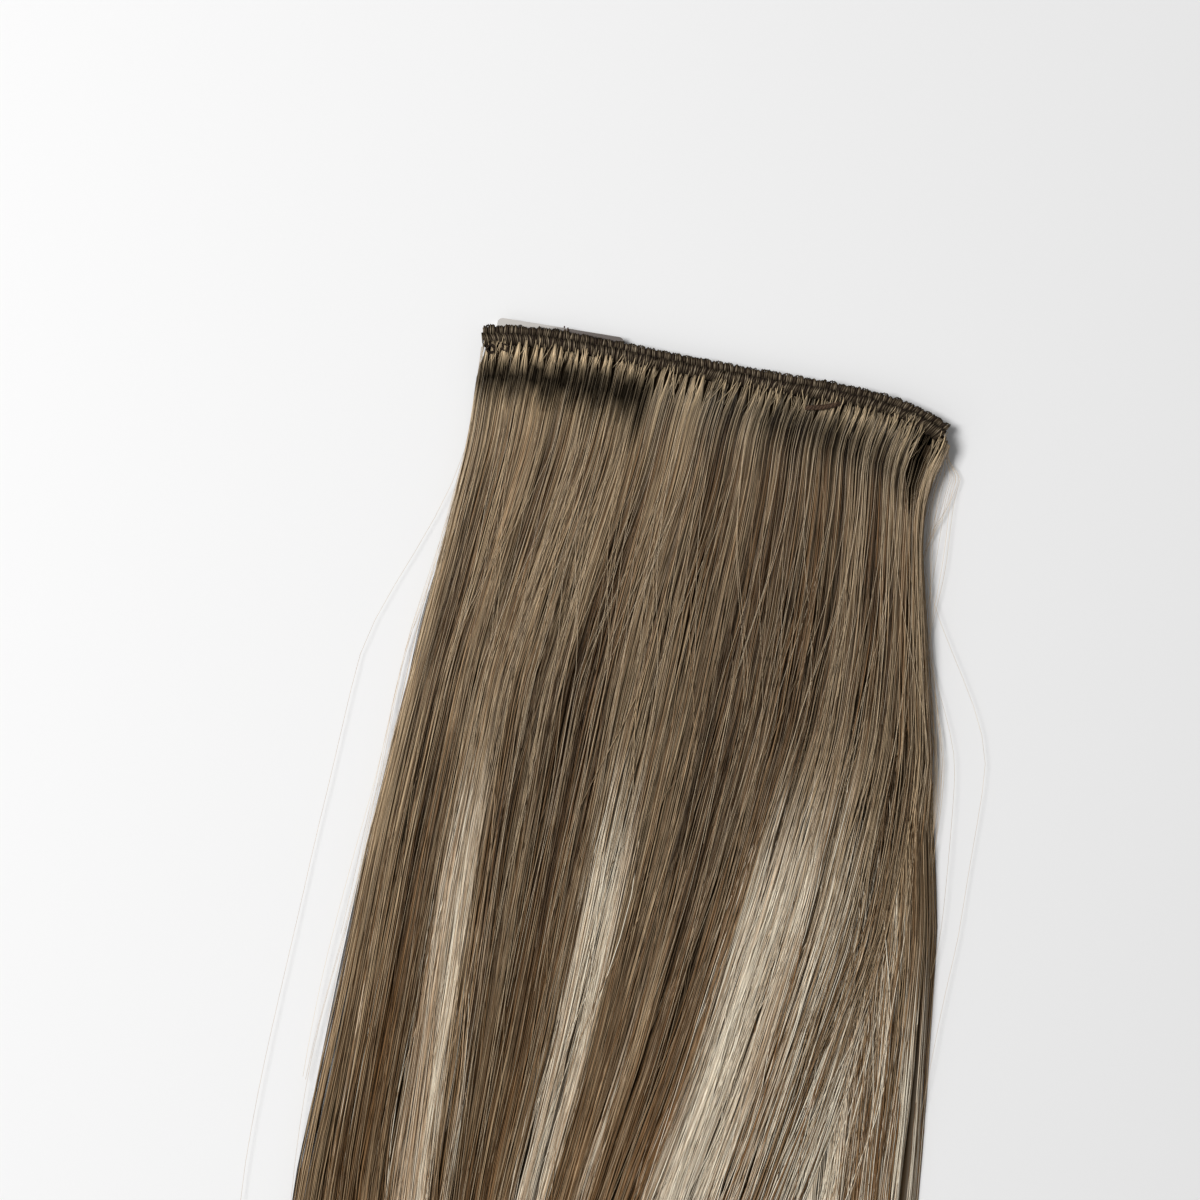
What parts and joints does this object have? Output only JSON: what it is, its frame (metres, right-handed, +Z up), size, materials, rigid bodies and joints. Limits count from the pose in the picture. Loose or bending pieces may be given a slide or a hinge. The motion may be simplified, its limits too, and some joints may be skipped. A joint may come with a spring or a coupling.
{
  "type": "clip in hair extension",
  "caption": "Straight hair weft with stitched tracks, long soft locks and snap clips with hinged combs under its ends.",
  "frame": {"origin": "on the surface that the extension lies on, under the middle of its bounding box", "axes": "+X runs along the weft, +Y from the hair's tips to the weft, +Z up, out of the hair's face"},
  "size_m": [0.1764, 0.3188, 0.0076],
  "materials": {
    "thread": "matte wound sewing thread",
    "hair": "glossy ash brown hair with pale streaks",
    "clip_steel": "satin stamped spring steel",
    "clip_silicone": "matte soft silicone"
  },
  "bodies": {
    "root": {"weft_track_back": "thread", "weft_track_front": "thread", "hair_locks_back": "hair", "hair_locks_front": "hair", "clip_left_frame": "clip_steel", "clip_left_grip": "clip_silicone", "clip_right_frame": "clip_steel", "clip_right_grip": "clip_silicone"},
    "left_comb": {"clip_left_comb": "clip_steel"},
    "right_comb": {"clip_right_comb": "clip_steel"}
  },
  "joints": [
    {"name": "left_comb_hinge", "type": "hinge", "parent": "root", "child": "left_comb", "pos_m": [-0.01228, 0.1554, 0.00125], "axis": [0.9869, -0.1614, 0], "range_deg": [0, 35]},
    {"name": "right_comb_hinge", "type": "hinge", "parent": "root", "child": "right_comb", "pos_m": [0.06827, 0.13642, 0.00125], "axis": [0.9549, -0.297, 0], "range_deg": [0, 35]}
  ]
}
